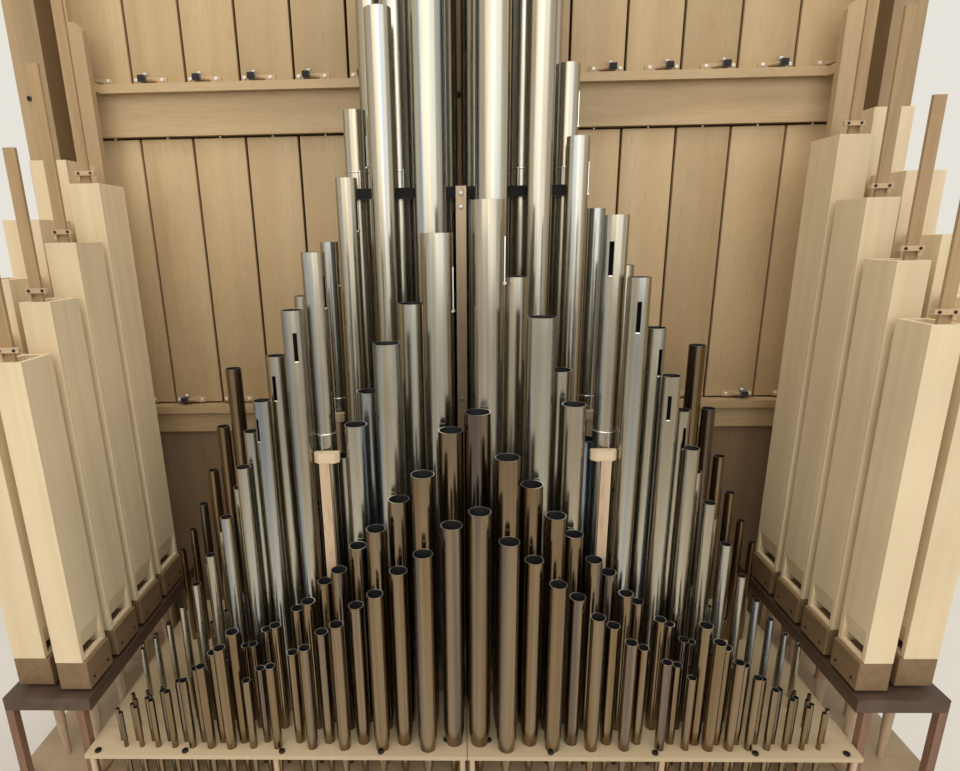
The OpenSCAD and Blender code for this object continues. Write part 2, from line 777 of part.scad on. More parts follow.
// Ledges with an ear at each end that reaches the guard boards
module swell_ledges() {
    color("tan")
        for (z = [lower_ledge_z, upper_ledge_z]) {
            difference() {
                slab(-front_half, front_half, ledge_y, rail_y + rail_d, z - ledge_t, z);
                pivot_holes(z);
            }
            for (s = SIDES)
                side_slab(s, guard_x, guard_x + guard_w, ledge_y - upright_gap, ledge_y,
                          z - ledge_t, z);
        }
}

module swell_posts() {
    color("tan")
        for (s = SIDES)
            side_slab(s, front_half, box_half, rail_y, rail_y + rail_d, 0, case_top);
}

base_bays = 4;
bay_w = 2 * front_half / base_bays;

module base_panels() {
    color("peru")
        for (i = [0:base_bays - 1])
            slab(-front_half + i * bay_w + (i == 0 ? stile_w : stile_w / 2),
                 -front_half + (i + 1) * bay_w - (i == base_bays - 1 ? stile_w : stile_w / 2),
                 rail_y + 20, rail_y + 20 + panel_t, plinth_h, low_rail_z);
}

module base_stiles() {
    color("peru")
        for (i = [0:base_bays]) {
            x = min(front_half - stile_w, max(-front_half, -front_half + i * bay_w - stile_w / 2));
            slab(x, x + stile_w, rail_y, rail_y + stile_d, plinth_h, low_rail_z);
        }
}

module box_sides() {
    color("burlywood")
        for (s = SIDES)
            side_slab(s, box_half - box_t, box_half, box_y, box_back_y - box_t, 0, case_top);
}

module box_back() {
    color("burlywood")
        slab(-box_half, box_half, box_back_y - box_t, box_back_y, 0, case_top);
}

module box_board(z) {
    color("burlywood")
        slab(box_t - box_half, box_half - box_t, box_y, box_back_y - box_t, z, z + box_t);
}

module box_roof() { box_board(case_top - box_t); }
module box_floor() { box_board(low_rail_z); }

// Wings: a board set back beside the box, a return and an outer board
wing_y = row_y(shade_row) + wing_back;

module wing_panels() {
    color("tan")
        for (s = SIDES) {
            side_slab(s, box_half, box_half + recess_w, wing_y + recess_d - wing_t,
                      wing_y + recess_d, 0, case_top);
            side_slab(s, box_half + recess_w + wing_t, box_half + wing_w, wing_y,
                      wing_y + wing_t, 0, case_top);
        }
}

module wing_returns() {
    color("tan")
        for (s = SIDES)
            side_slab(s, box_half + recess_w, box_half + recess_w + wing_t, wing_y,
                      wing_y + recess_d, 0, case_top);
}

ground_beams();
chest_legs();
wind_chests();
bung_boards();
toe_boards();
rack_boards();
rack_pillars();
superoctave_pipes();
quint_pipes();
octave_pipes();
gamba_pipes();
principal_pipes();
violone_pipes();
stay_bar();
stay_posts();
stay_blocks();
pipe_hooks();
wood_pipes_left();
wood_pipes_right();
wood_pipe_caps();
wood_pipe_feet();
tuning_slats();
slat_clamps();
side_chests();
side_racks();
side_posts();
case_uprights();
swell_posts();
swell_rails();
swell_ledges();
base_panels();
base_stiles();
box_sides();
box_back();
box_roof();
box_floor();
wing_panels();
wing_returns();
for (i = shade_columns)
    swell_shades(i);
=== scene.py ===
import math

import bpy
from mathutils import Matrix, Vector


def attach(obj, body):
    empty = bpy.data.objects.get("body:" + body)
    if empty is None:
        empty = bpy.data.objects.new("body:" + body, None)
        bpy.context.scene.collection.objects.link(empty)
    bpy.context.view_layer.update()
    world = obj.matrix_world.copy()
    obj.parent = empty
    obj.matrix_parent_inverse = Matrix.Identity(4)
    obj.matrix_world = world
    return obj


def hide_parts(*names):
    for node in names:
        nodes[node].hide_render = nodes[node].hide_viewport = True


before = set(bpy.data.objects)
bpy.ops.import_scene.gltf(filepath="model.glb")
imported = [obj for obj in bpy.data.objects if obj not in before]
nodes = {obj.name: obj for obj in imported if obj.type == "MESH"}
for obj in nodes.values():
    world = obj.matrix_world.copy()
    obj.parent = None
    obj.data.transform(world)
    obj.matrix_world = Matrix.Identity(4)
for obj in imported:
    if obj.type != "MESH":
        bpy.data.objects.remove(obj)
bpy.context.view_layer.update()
print("stage: frame loaded,", len(nodes), "nodes")


# small helpers

def deselectAll():
    if bpy.context.object and bpy.context.object.mode != "OBJECT":
        bpy.ops.object.mode_set(mode="OBJECT")
    bpy.ops.object.select_all(action="DESELECT")


def makeActive(piece):
    deselectAll()
    piece.select_set(True)
    bpy.context.view_layer.objects.active = piece


def settle(piece):
    # puts the piece's place, turn and size into its mesh
    makeActive(piece)
    bpy.ops.object.transform_apply(location=True, rotation=True, scale=True)
    return piece


def editAll():
    bpy.ops.object.mode_set(mode="EDIT")
    bpy.ops.mesh.select_mode(type="VERT")
    bpy.ops.mesh.select_all(action="SELECT")


def leaveEdit():
    bpy.ops.object.mode_set(mode="OBJECT")


def boxPiece(name, low, high, bevel=0.0012, segments=2):
    deselectAll()
    middle = [(a + b) / 2 for a, b in zip(low, high)]
    bpy.ops.mesh.primitive_cube_add(size=1, location=middle)
    piece = bpy.context.object
    piece.name = name
    piece.scale = [b - a for a, b in zip(low, high)]
    settle(piece)
    editAll()
    bpy.ops.mesh.bevel(offset=bevel, segments=segments, affect="EDGES")
    leaveEdit()
    return piece


def rodPiece(name, start, end, radius, sides=16, bevel=0.0):
    # a round rod between two points, with its rims broken where bevel is set
    deselectAll()
    start, end = Vector(start), Vector(end)
    bpy.ops.mesh.primitive_cylinder_add(vertices=sides, radius=radius, depth=(end - start).length,
                                        location=(start + end) / 2)
    piece = bpy.context.object
    piece.name = name
    piece.rotation_mode = "QUATERNION"
    piece.rotation_quaternion = (end - start).to_track_quat("Z", "Y")
    settle(piece)
    if bevel:
        addBevel(piece, bevel, 2)
    smooth(piece)
    return piece


def addBevel(piece, width, segments=2):
    makeActive(piece)
    bevel = piece.modifiers.new("rims", "BEVEL")
    bevel.width = width
    bevel.segments = segments
    bevel.limit_method = "ANGLE"
    bevel.angle_limit = math.radians(50)
    bpy.ops.object.modifier_apply(modifier=bevel.name)


def smooth(piece, angle=35):
    makeActive(piece)
    bpy.ops.object.shade_smooth_by_angle(angle=math.radians(angle))


def copyAt(piece, name, offset=(0, 0, 0), turn=0.0, axis="Z", size=1.0, flip=False):
    copied = piece.copy()
    copied.data = piece.data.copy()
    copied.name = name
    bpy.context.scene.collection.objects.link(copied)
    place = Matrix.Translation(offset) @ Matrix.Rotation(turn, 4, axis) @ Matrix.Scale(size, 4)
    if flip:
        place = place @ Matrix.Scale(-1, 4, (1, 0, 0))
    copied.data.transform(place)
    if flip:
        copied.data.flip_normals()
    return copied


def joinPieces(pieces, name):
    deselectAll()
    for piece in pieces:
        piece.select_set(True)
    bpy.context.view_layer.objects.active = pieces[0]
    if len(pieces) > 1:
        bpy.ops.object.join()
    joined = bpy.context.object
    joined.name = name
    return joined


def dropPiece(piece):
    bpy.data.objects.remove(piece)


def dress(piece, material, body="organ", replaces=()):
    if material:
        piece.data.materials.clear()
        piece.data.materials.append(material)
    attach(piece, body)
    if replaces:
        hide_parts(*replaces)
    return piece


# materials

class NodePen:
    # adds shader nodes one after another and links them
    def __init__(self, name):
        self.material = bpy.data.materials.new(name)
        self.material.use_nodes = True
        self.tree = self.material.node_tree
        self.shader = self.tree.nodes["Principled BSDF"]
        self.place = self.add("ShaderNodeTexCoord").outputs["Object"]

    def add(self, kind, **settings):
        node = self.tree.nodes.new(kind)
        for key, value in settings.items():
            setattr(node, key, value)
        return node

    def link(self, source, target):
        self.tree.links.new(source, target)

    def mapped(self, scale, turn=(0, 0, 0)):
        node = self.add("ShaderNodeMapping")
        node.inputs["Scale"].default_value = scale
        node.inputs["Rotation"].default_value = turn
        self.link(self.place, node.inputs["Vector"])
        return node.outputs["Vector"]

    def noise(self, vector, scale, detail=2.0, roughness=0.5, distortion=0.0):
        node = self.add("ShaderNodeTexNoise")
        node.inputs["Scale"].default_value = scale
        node.inputs["Detail"].default_value = detail
        node.inputs["Roughness"].default_value = roughness
        node.inputs["Distortion"].default_value = distortion
        self.link(vector, node.inputs["Vector"])
        return node.outputs["Fac"]

    def math(self, operation, first, second=None):
        node = self.add("ShaderNodeMath", operation=operation)
        for socket, value in zip(node.inputs, (first, second)):
            if value is None:
                continue
            if isinstance(value, (int, float)):
                socket.default_value = value
            else:
                self.link(value, socket)
        return node.outputs["Value"]

    def ramp(self, source, stops):
        node = self.add("ShaderNodeValToRGB")
        points = node.color_ramp.elements
        while len(points) < len(stops):
            points.new(0.5)
        for point, (position, colour) in zip(points, stops):
            point.position = position
            point.color = (*colour, 1)
        self.link(source, node.inputs["Fac"])
        return node.outputs["Color"]

    def span(self, source, low, high, start=0.0, end=1.0):
        node = self.add("ShaderNodeMapRange")
        node.inputs["From Min"].default_value = start
        node.inputs["From Max"].default_value = end
        node.inputs["To Min"].default_value = low
        node.inputs["To Max"].default_value = high
        self.link(source, node.inputs["Value"])
        return node.outputs["Result"]

    def mix(self, factor, first, second, kind="MIX"):
        node = self.add("ShaderNodeMix", data_type="RGBA", blend_type=kind)
        sockets = [s for s in node.inputs if s.enabled]
        for socket, value in zip((sockets[0], sockets[1], sockets[2]), (factor, first, second)):
            if isinstance(value, (int, float)):
                socket.default_value = value
            elif isinstance(value, tuple):
                socket.default_value = (*value, 1)
            else:
                self.link(value, socket)
        return [s for s in node.outputs if s.enabled][0]

    def bump(self, height, strength, distance=0.001):
        node = self.add("ShaderNodeBump")
        node.inputs["Strength"].default_value = strength
        node.inputs["Distance"].default_value = distance
        self.link(height, node.inputs["Height"])
        self.link(node.outputs["Normal"], self.shader.inputs["Normal"])


def woodMaterial(name, pale, dark, along="Z", ringScale=5.0, fibre=0.5, roughness=0.48, board=None,
                 boardSpread=0.12, flecks=0.0, bump=0.25):
    pen = NodePen(name)
    pull = {"X": (0.05, 1, 1), "Y": (1, 0.05, 1), "Z": (1, 1, 0.05)}[along]
    grain = pen.mapped(pull)
    wander = pen.noise(grain, ringScale, 2.0, 0.45, 0.4)
    rings = pen.math("PINGPONG", pen.math("MULTIPLY", wander, 13.0), 1.0)
    rings = pen.math("POWER", rings, 1.6)
    fine = pen.noise(grain, 210, 3.0, 0.6)
    broad = pen.noise(pen.place, 1.7, 3.0)
    colour = pen.mix(pen.span(rings, 0.1, 0.62), pale, dark)
    colour = pen.mix(pen.span(fine, 0.0, fibre, 0.35, 0.75), colour, dark)
    shade = pen.span(broad, 0.9, 1.1, 0.3, 0.7)
    if board:  # each board has a tone of its own
        axis, pitch, offset = board
        split = pen.add("ShaderNodeSeparateXYZ")
        pen.link(pen.place, split.inputs["Vector"])
        index = pen.math("FLOOR", pen.math("DIVIDE", pen.math("ADD", split.outputs[axis], offset), pitch))
        tone = pen.add("ShaderNodeTexWhiteNoise", noise_dimensions="1D")
        pen.link(index, tone.inputs["W"])
        shade = pen.math("MULTIPLY", shade,
                         pen.span(tone.outputs["Value"], 1 - boardSpread, 1 + boardSpread * 0.6))
    grey = pen.add("ShaderNodeCombineColor")
    for socket in grey.inputs[:3]:
        pen.link(shade, socket)
    colour = pen.mix(1.0, colour, grey.outputs["Color"], "MULTIPLY")
    if flecks:
        spot = pen.noise(pen.mapped(tuple(1 if value == 1 else 0.2 for value in pull)), 95, 1.0, 0.3)
        colour = pen.mix(pen.span(spot, 0.0, flecks, 0.62, 0.72), colour, tuple(c * 0.55 for c in dark))
    pen.link(colour, pen.shader.inputs["Base Color"])
    pen.link(pen.span(fine, roughness - 0.07, roughness + 0.1), pen.shader.inputs["Roughness"])
    pen.shader.inputs["Specular IOR Level"].default_value = 0.4
    pen.bump(pen.math("ADD", pen.math("MULTIPLY", rings, 0.3), fine), bump, 0.0006)
    return pen.material


def pipeMetal(name, pale, warm, cool, roughness=0.26, stain=0.35):
    pen = NodePen(name)
    # vertical bands of cool, pale and warm tint: partly tint streaks in the metal, partly painted reflection
    # bands
    tintAndReflectionBands = pen.noise(pen.mapped((1, 1, 0.012)), 34, 1.0, 0.5)
    colour = pen.ramp(tintAndReflectionBands, [(0.30, cool), (0.43, pale), (0.55, warm), (0.66, pale), (0.8, cool)])
    cloud = pen.noise(pen.mapped((1, 1, 0.25)), 7, 3.0, 0.5)
    colour = pen.mix(pen.span(cloud, 0.0, stain, 0.5, 0.8), colour, tuple(c * 0.6 for c in warm))
    pen.link(colour, pen.shader.inputs["Base Color"])
    plane = pen.noise(pen.mapped((1, 1, 0.004)), 260, 1.0, 0.5)
    smudge = pen.noise(pen.mapped((1, 1, 0.3)), 14, 2.0, 0.5)
    rough = pen.math("ADD", pen.span(smudge, roughness - 0.04, roughness + 0.08, 0.3, 0.75),
                     pen.span(plane, -0.02, 0.03))
    pen.link(rough, pen.shader.inputs["Roughness"])
    pen.shader.inputs["Metallic"].default_value = 1.0
    pen.bump(plane, 0.02, 0.0002)
    return pen.material


def plainMaterial(name, colour, roughness=0.5, metallic=0.0, grain=160, spread=0.25, bump=0.1, sheen=0.0):
    pen = NodePen(name)
    speck = pen.noise(pen.place, grain, 3.0, 0.6)
    dark = tuple(c * (1 - spread) for c in colour)
    pen.link(pen.mix(pen.span(speck, 0, 1, 0.3, 0.7), colour, dark), pen.shader.inputs["Base Color"])
    pen.link(pen.span(speck, max(0.05, roughness - 0.08), min(1, roughness + 0.08)),
             pen.shader.inputs["Roughness"])
    pen.shader.inputs["Metallic"].default_value = metallic
    pen.shader.inputs["Sheen Weight"].default_value = sheen
    pen.bump(speck, bump, 0.0005)
    return pen.material


boardPitch = 0.168
woods = {
    "shadeOak": woodMaterial("shadeOak", (0.56, 0.42, 0.24), (0.45, 0.31, 0.16), ringScale=3.2,
                             board=("X", boardPitch, 0.0), boardSpread=0.14, flecks=0.14),
    "railOak": woodMaterial("railOak", (0.54, 0.40, 0.23), (0.36, 0.245, 0.12), along="X",
                            ringScale=4.0),
    "uprightOak": woodMaterial("uprightOak", (0.50, 0.365, 0.21), (0.37, 0.25, 0.13), ringScale=5.0),
    "baseOak": woodMaterial("baseOak", (0.26, 0.175, 0.10), (0.17, 0.11, 0.058), ringScale=3.0),
    "boxBoard": woodMaterial("boxBoard", (0.58, 0.45, 0.29), (0.47, 0.35, 0.21), ringScale=3.0,
                             board=("X", 0.2, 0.0)),
    "sideBoard": woodMaterial("sideBoard", (0.58, 0.45, 0.29), (0.47, 0.35, 0.21), ringScale=3.0,
                              board=("Y", 0.2, 0.0)),
    "roofBoard": woodMaterial("roofBoard", (0.58, 0.45, 0.29), (0.47, 0.35, 0.21), along="Y",
                              ringScale=3.0, board=("X", 0.2, 0.0)),
    "wingOak": woodMaterial("wingOak", (0.44, 0.32, 0.18), (0.33, 0.22, 0.115), ringScale=6.0,
                            board=("X", 0.05, 0.02), boardSpread=0.18),
    "pipeMaple": woodMaterial("pipeMaple", (0.76, 0.63, 0.42), (0.67, 0.53, 0.33), ringScale=7.0,
                              fibre=0.3, roughness=0.5, bump=0.12),
    "capOak": woodMaterial("capOak", (0.24, 0.155, 0.08), (0.16, 0.10, 0.05), along="Y", ringScale=9.0),
    "slatOak": woodMaterial("slatOak", (0.42, 0.29, 0.15), (0.29, 0.185, 0.09), ringScale=12.0),
    "clampOak": woodMaterial("clampOak", (0.60, 0.45, 0.28), (0.45, 0.31, 0.18), along="X", ringScale=12.0),
    "birchPly": woodMaterial("birchPly", (0.56, 0.45, 0.29), (0.47, 0.36, 0.22), along="X",
                             ringScale=4.0, fibre=0.25, roughness=0.42, bump=0.1),
    "postBeech": woodMaterial("postBeech", (0.58, 0.44, 0.30), (0.47, 0.33, 0.21), ringScale=9.0, flecks=0.3),
    "blockBeech": woodMaterial("blockBeech", (0.66, 0.53, 0.36), (0.56, 0.42, 0.27), along="X",
                               ringScale=10.0, fibre=0.25),
    "chestOak": woodMaterial("chestOak", (0.58, 0.44, 0.28), (0.44, 0.31, 0.18), along="X", ringScale=4.0),
    "frameSpruce": woodMaterial("frameSpruce", (0.64, 0.49, 0.31), (0.50, 0.35, 0.2), along="Y",
                                ringScale=4.0),
    "darkBeam": woodMaterial("darkBeam", (0.115, 0.07, 0.045), (0.05, 0.03, 0.02), along="Y", ringScale=6.0),
    "stainedPost": woodMaterial("stainedPost", (0.27, 0.15, 0.09), (0.16, 0.08, 0.05), ringScale=9.0),
}
tin = pipeMetal("polishedTin", (0.50, 0.485, 0.41), (0.43, 0.375, 0.285), (0.33, 0.375, 0.44), 0.23, 0.22)
tinWarm = pipeMetal("planedTin", (0.28, 0.215, 0.14), (0.22, 0.152, 0.082), (0.15, 0.125, 0.11), 0.2, 0.35)
# inside of the pipes: duller inner metal, made near-black as painted shade inside the pipe
dullTinPaintedShade = plainMaterial("pipeInsidePaintedShade", (0.03, 0.03, 0.035), 0.55, 0.5, grain=60)
tinRim = plainMaterial("cutRim", (0.86, 0.85, 0.82), 0.3, 1.0, grain=300, spread=0.1)
felt = plainMaterial("blackFelt", (0.012, 0.012, 0.014), 0.95, 0.0, grain=500, bump=0.6, sheen=0.4)
wire = plainMaterial("tinnedWire", (0.74, 0.74, 0.76), 0.22, 1.0, grain=300, spread=0.15)
steel = plainMaterial("boltSteel", (0.50, 0.50, 0.50), 0.35, 1.0, grain=300, spread=0.3)
blackBolt = plainMaterial("blackenedBolt", (0.035, 0.03, 0.03), 0.45, 0.7, grain=300)
whiteHead = plainMaterial("whiteHead", (0.82, 0.82, 0.78), 0.35, 0.0, grain=300, spread=0.08)
print("stage: materials made,", len(bpy.data.materials))


# carried-over CAD nodes take their finishes

nodeWoods = {
    "ground_beams": "frameSpruce", "chest_legs": "uprightOak", "wind_chests": "chestOak",
    "bung_boards": "chestOak", "toe_boards": "chestOak", "rack_boards": "birchPly",
    "rack_pillars": "postBeech", "stay_posts": "postBeech", "stay_blocks": "blockBeech",
    "wood_pipe_feet": "postBeech", "tuning_slats": "slatOak", "slat_clamps": "clampOak",
    "side_chests": "chestOak", "side_racks": "darkBeam", "side_posts": "stainedPost",
    "case_uprights": "uprightOak", "swell_posts": "uprightOak", "swell_rails": "railOak",
    "swell_ledges": "railOak", "base_panels": "baseOak", "base_stiles": "baseOak",
    "box_floor": "boxBoard", "wing_panels": "wingOak", "wing_returns": "wingOak",
}
finishes = {nodeName: woods[woodName] for nodeName, woodName in nodeWoods.items()}
finishes.update({"stay_bar": felt, "pipe_hooks": wire})
for nodeName, material in finishes.items():
    nodes[nodeName].data.materials.clear()
    nodes[nodeName].data.materials.append(material)


# places read from the frame

def looseBoxes(nodeName):
    # the low and high corner of each separate solid in a node
    mesh = nodes[nodeName].data
    parent = {}

    def root(key):
        while parent[key] != key:
            parent[key] = parent[parent[key]]
            key = parent[key]
        return key

    keys = [tuple(round(c, 5) for c in vertex.co) for vertex in mesh.vertices]
    for key in keys:
        parent.setdefault(key, key)
    for polygon in mesh.polygons:
        first = root(keys[polygon.vertices[0]])
        for index in polygon.vertices[1:]:
            parent[root(keys[index])] = first
    groups = {}
    for key in parent:
        groups.setdefault(root(key), []).append(key)
    boxes = []
    for points in groups.values():
        low = Vector([min(p[i] for p in points) for i in range(3)])
        high = Vector([max(p[i] for p in points) for i in range(3)])
        boxes.append((low, high))
    boxes.sort(key=lambda pair: (round(pair[0].x + pair[1].x, 4), round(pair[0].y, 4)))
    return boxes


# metal pipes: a plain and a slotted one are modelled, then each copy is drawn out to its own size

pipeSettings = {
    "sides": 32,
    "wall": 0.060,          # share of the radius
    "toeRadius": 0.005,
    "toeBoard": 0.500,
    "slotTop": 2.0,         # the slot's upper and lower end under the rim, in radii
    "slotFoot": 4.7,
    "mouthTop": 0.44,       # height of the mouth in radii
    "mouthReach": 40,       # degrees a side that the mouth takes
    "slotReach": 168,       # degrees from the back where the slot starts
    "languid": {"radius": 0.941, "thick": 0.02, "middle": 0.985},
    "roll": {"radius": 0.085, "length": 0.37, "front": -1.03, "rise": 0.02, "bevel": 0.015},
}
# template heights: the foot's upper end, the mouth, the change from mouth to rim, and the rim
zoneFoot, zoneBody, zoneSplit, zoneTop = 1.0, 10.0, 15.0, 20.0


def ringUp(height, currentHeight, factor=1.0):
    bpy.ops.mesh.extrude_region_move(TRANSFORM_OT_translate={"value": (0, 0, height - currentHeight)})
    if factor != 1.0:
        bpy.ops.transform.resize(value=(factor, factor, 1), center_override=(0, 0, height))


def pipeTemplate(name, slotted):
    # heights 0 to 1 are the foot, from 10 on the body over its mouth, and up to 20 its rim
    s = pipeSettings
    deselectAll()
    bpy.ops.mesh.primitive_circle_add(vertices=s["sides"], radius=1, location=(0, 0, 0))
    piece = bpy.context.object
    piece.name = name
    editAll()
    heights = [zoneFoot, zoneBody + s["mouthTop"]]
    if slotted:
        heights += [zoneTop - s["slotFoot"], zoneTop - s["slotTop"]]
    heights.append(zoneTop)
    current = 0.0
    for height in heights:
        ringUp(height, current)
        current = height
    leaveEdit()
    mesh = piece.data
    # the mouth is cut at the back and the slot at the front
    doomed = []
    for polygon in mesh.polygons:
        low = min(mesh.vertices[i].co.z for i in polygon.vertices)
        high = max(mesh.vertices[i].co.z for i in polygon.vertices)
        angle = math.degrees(math.atan2(polygon.center.x, polygon.center.y))
        if abs(low - zoneFoot) < 0.01 and abs(angle) < s["mouthReach"]:
            doomed.append(polygon.index)
        atSlot = abs(low - (zoneTop - s["slotFoot"])) < 0.01 and high < zoneTop - 1
        if slotted and atSlot and abs(angle) > s["slotReach"]:
            doomed.append(polygon.index)
    makeActive(piece)
    bpy.ops.object.mode_set(mode="EDIT")
    bpy.ops.mesh.select_mode(type="FACE")
    leaveEdit()
    for polygon in mesh.polygons:
        polygon.select = polygon.index in doomed
    bpy.ops.object.mode_set(mode="EDIT")
    bpy.ops.mesh.delete(type="FACE")
    bpy.ops.mesh.select_all(action="SELECT")
    bpy.ops.mesh.normals_make_consistent(inside=False)
    leaveEdit()
    for material in (tin, dullTinPaintedShade, tinRim):
        piece.data.materials.append(material)
    wall = piece.modifiers.new("wall", "SOLIDIFY")
    wall.thickness = s["wall"]
    wall.offset = -1
    # the inner shell takes the painted shade of the pipe's inside
    wall.material_offset = 1
    wall.material_offset_rim = 2
    makeActive(piece)
    bpy.ops.object.modifier_apply(modifier="wall")
    extras = []
    # languid that closes the foot, near-black as painted shade inside the pipe
    deselectAll()
    disc = s["languid"]
    bpy.ops.mesh.primitive_cylinder_add(vertices=s["sides"], radius=disc["radius"], depth=disc["thick"],
                                        location=(0, 0, disc["middle"]), end_fill_type="NGON")
    languid = bpy.context.object
    languid.data.materials.append(dullTinPaintedShade)
    settle(languid)
    extras.append(languid)
    if slotted:
        # the strip that was cut out hangs as a small roll at the slot's foot
        deselectAll()
        strip = s["roll"]
        place = (0, strip["front"], zoneTop - s["slotFoot"] + strip["rise"])
        bpy.ops.mesh.primitive_cylinder_add(vertices=10, radius=strip["radius"], depth=strip["length"],
                                            location=place, rotation=(0, math.pi / 2, 0))
        roll = bpy.context.object
        roll.data.materials.append(tinRim)
        settle(roll)
        editAll()
        bpy.ops.mesh.bevel(offset=strip["bevel"], segments=1, affect="EDGES")
        leaveEdit()
        extras.append(roll)
    piece = joinPieces([piece] + extras, name)
    smooth(piece, 40)
    return piece


def drawnPipe(template, name, x, y, radius, mouth, top, turn=0):
    copied = copyAt(template, name, turn=math.radians(turn))
    toeZ = pipeSettings["toeBoard"]
    toeR = pipeSettings["toeRadius"]
    for vertex in copied.data.vertices:
        z = vertex.co.z
        spread = radius
        if z <= zoneFoot + 0.001:
            spread = toeR + (radius - toeR) * max(z, 0)
            height = toeZ + (mouth - toeZ) * z
        elif z < zoneSplit:
            height = mouth + (z - zoneBody) * radius
        else:
            height = top - (zoneTop - z) * radius
        vertex.co = (x + vertex.co.x * spread, y + vertex.co.y * spread, height)
    return copied


plainPipe = pipeTemplate("plainPipe", False)
slottedPipe = pipeTemplate("slottedPipe", True)
ranks = {
    "superoctave_pipes": {"name": "superoctavePipes", "metal": tinWarm, "slot": "pipe_metal",
                          "mouth": 0.660},
    "quint_pipes": {"name": "quintPipes", "metal": tinWarm, "slot": "pipe_metal", "mouth": 0.660},
    "octave_pipes": {"name": "octavePipes", "metal": tin, "slot": "pipe_tin", "mouth": 0.660,
                     "longReach": 0.37, "longMouth": 0.678},
    "gamba_pipes": {"name": "gambaPipes", "metal": tin, "slot": "pipe_tin", "mouth": 0.678},
    "principal_pipes": {"name": "principalPipes", "metal": tin, "slot": "pipe_tin", "mouth": 0.678},
    "violone_pipes": {"name": "violonePipes", "metal": tinWarm, "slot": "pipe_metal", "mouth": 0.678},
}
slotSettings = {
    "gambaOver": 0.0197,                    # gamba pipes of a larger radius have a slot
    "gambaTurns": (-18, 12, -30, -8, 20),   # degrees from the front, one pipe after another
    "innerReach": 0.36, "frontRow": -0.6,   # gamba pipes near the middle and in front have turns of their own
    "innerRight": -28, "innerLeft": 70,
    "principalUnder": 2.3, "principalTurn": 72,   # principal pipes with a lower top have a slot
    "octaveReach": 0.07, "octaveTurn": 76,        # octave pipes nearer the middle have a slot
}


def slotTurn(nodeName, x, y, radius, top, number):
    # how far a pipe's slot is turned from the front, or None where it has no slot
    s = slotSettings
    if nodeName == "gamba_pipes" and radius > s["gambaOver"]:
        if abs(x) < s["innerReach"] and y < s["frontRow"]:
            return s["innerRight"] if x > 0 else s["innerLeft"]
        return s["gambaTurns"][number % len(s["gambaTurns"])]
    if nodeName == "principal_pipes" and top < s["principalUnder"]:
        return s["principalTurn"]
    if nodeName == "octave_pipes" and abs(x) < s["octaveReach"]:
        return s["octaveTurn"]
    return None


pipeCount = 0
for nodeName, rank in ranks.items():
    made = []
    for low, high in looseBoxes(nodeName):
        x, y = (low.x + high.x) / 2, (low.y + high.y) / 2
        radius = (high.x - low.x) / 2
        mouth = rank["longMouth"] if abs(x) < rank.get("longReach", 0) else rank["mouth"]
        turn = slotTurn(nodeName, x, y, radius, high.z, len(made))
        template = plainPipe if turn is None else slottedPipe
        made.append(drawnPipe(template, "pipe", x, y, radius, mouth, high.z, turn or 0))
    pipeCount += len(made)
    joined = joinPieces(made, rank["name"])
    joined.data.materials[0] = rank["metal"]
    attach(joined, "organ")
    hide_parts(nodeName)
dropPiece(plainPipe)
dropPiece(slottedPipe)
print("stage: metal pipes made,", pipeCount)


# swell shades

shadeSettings = {
    "count": 14, "pitch": boardPitch, "width": 0.160, "thick": 0.024, "height": 0.859,
    "y": -0.031, "ledges": (1.302, 2.318), "clear": 0.006, "bevel": 0.0016,
    "pinRadius": 0.005, "pinBevel": 0.0006,
    "lowPin": (-0.016, 0.007), "highPin": (0.005, 0.028),   # the upper one from the board's height
}
# the fitting at a shade's foot: low and high corners, in Y from the board's front
fittingParts = {
    "plate": ((-0.026, -0.004, 0.0065), (0.078, 0.0, 0.0245)),
    "foot": ((-0.024, -0.0078, 0.0062), (0.076, -0.0035, 0.011)),
    "block": ((0.031, -0.033, 0.0095), (0.053, -0.0078, 0.0275)),
    "arm": ((0.031, -0.017, 0.017), (0.004, -0.009, 0.0125)),   # its two ends
    "armRadius": 0.0075, "armTaper": 0.012, "armMiddle": -0.008, "armNarrow": (0.5, 0.45),
    "plateBolts": ((-0.012, -0.004, 0.0165), (0.068, -0.004, 0.0165)),
    "blockBolt": (0.036, -0.014, 0.0295), "blockBoltTilt": -70,
}
boltShares = {"bevel": 0.35, "inset": 0.35, "recess": 0.4}


def boltPiece(name, radius, height, material, sides=14):
    # a bolt head that faces the front, its back at the origin
    deselectAll()
    bpy.ops.mesh.primitive_cylinder_add(vertices=sides, radius=radius, depth=height,
                                        location=(0, -height / 2, 0), rotation=(math.pi / 2, 0, 0))
    piece = bpy.context.object
    piece.name = name
    settle(piece)
    addBevel(piece, min(radius, height) * boltShares["bevel"], 2)
    bpy.ops.object.mode_set(mode="EDIT")
    bpy.ops.mesh.select_mode(type="FACE")
    bpy.ops.mesh.select_all(action="DESELECT")
    leaveEdit()
    front = min(piece.data.polygons, key=lambda polygon: polygon.center.y)
    front.select = True
    bpy.ops.object.mode_set(mode="EDIT")
    bpy.ops.mesh.inset(thickness=radius * boltShares["inset"])
    bpy.ops.mesh.extrude_region_move(TRANSFORM_OT_translate={"value": (0, height * boltShares["recess"], 0)})
    leaveEdit()
    piece.data.materials.append(material)
    smooth(piece, 40)
    return piece


whiteBolt = boltPiece("whiteBolt", 0.0055, 0.006, whiteHead)
darkBolt = boltPiece("darkBolt", 0.0075, 0.006, blackBolt)
smallScrew = boltPiece("smallScrew", 0.0035, 0.0025, blackBolt, 12)
steelScrew = boltPiece("steelScrew", 0.004, 0.0025, steel, 12)


def fromFront(point):
    # a place on the shade, its Y measured from the board's front
    return (point[0], -shadeSettings["thick"] / 2 + point[1], point[2])


def fittingPart(name, material, bevel, segments=2):
    low, high = fittingParts[name]
    part = boxPiece(name, fromFront(low), fromFront(high), bevel, segments)
    part.data.materials.append(material)
    return part


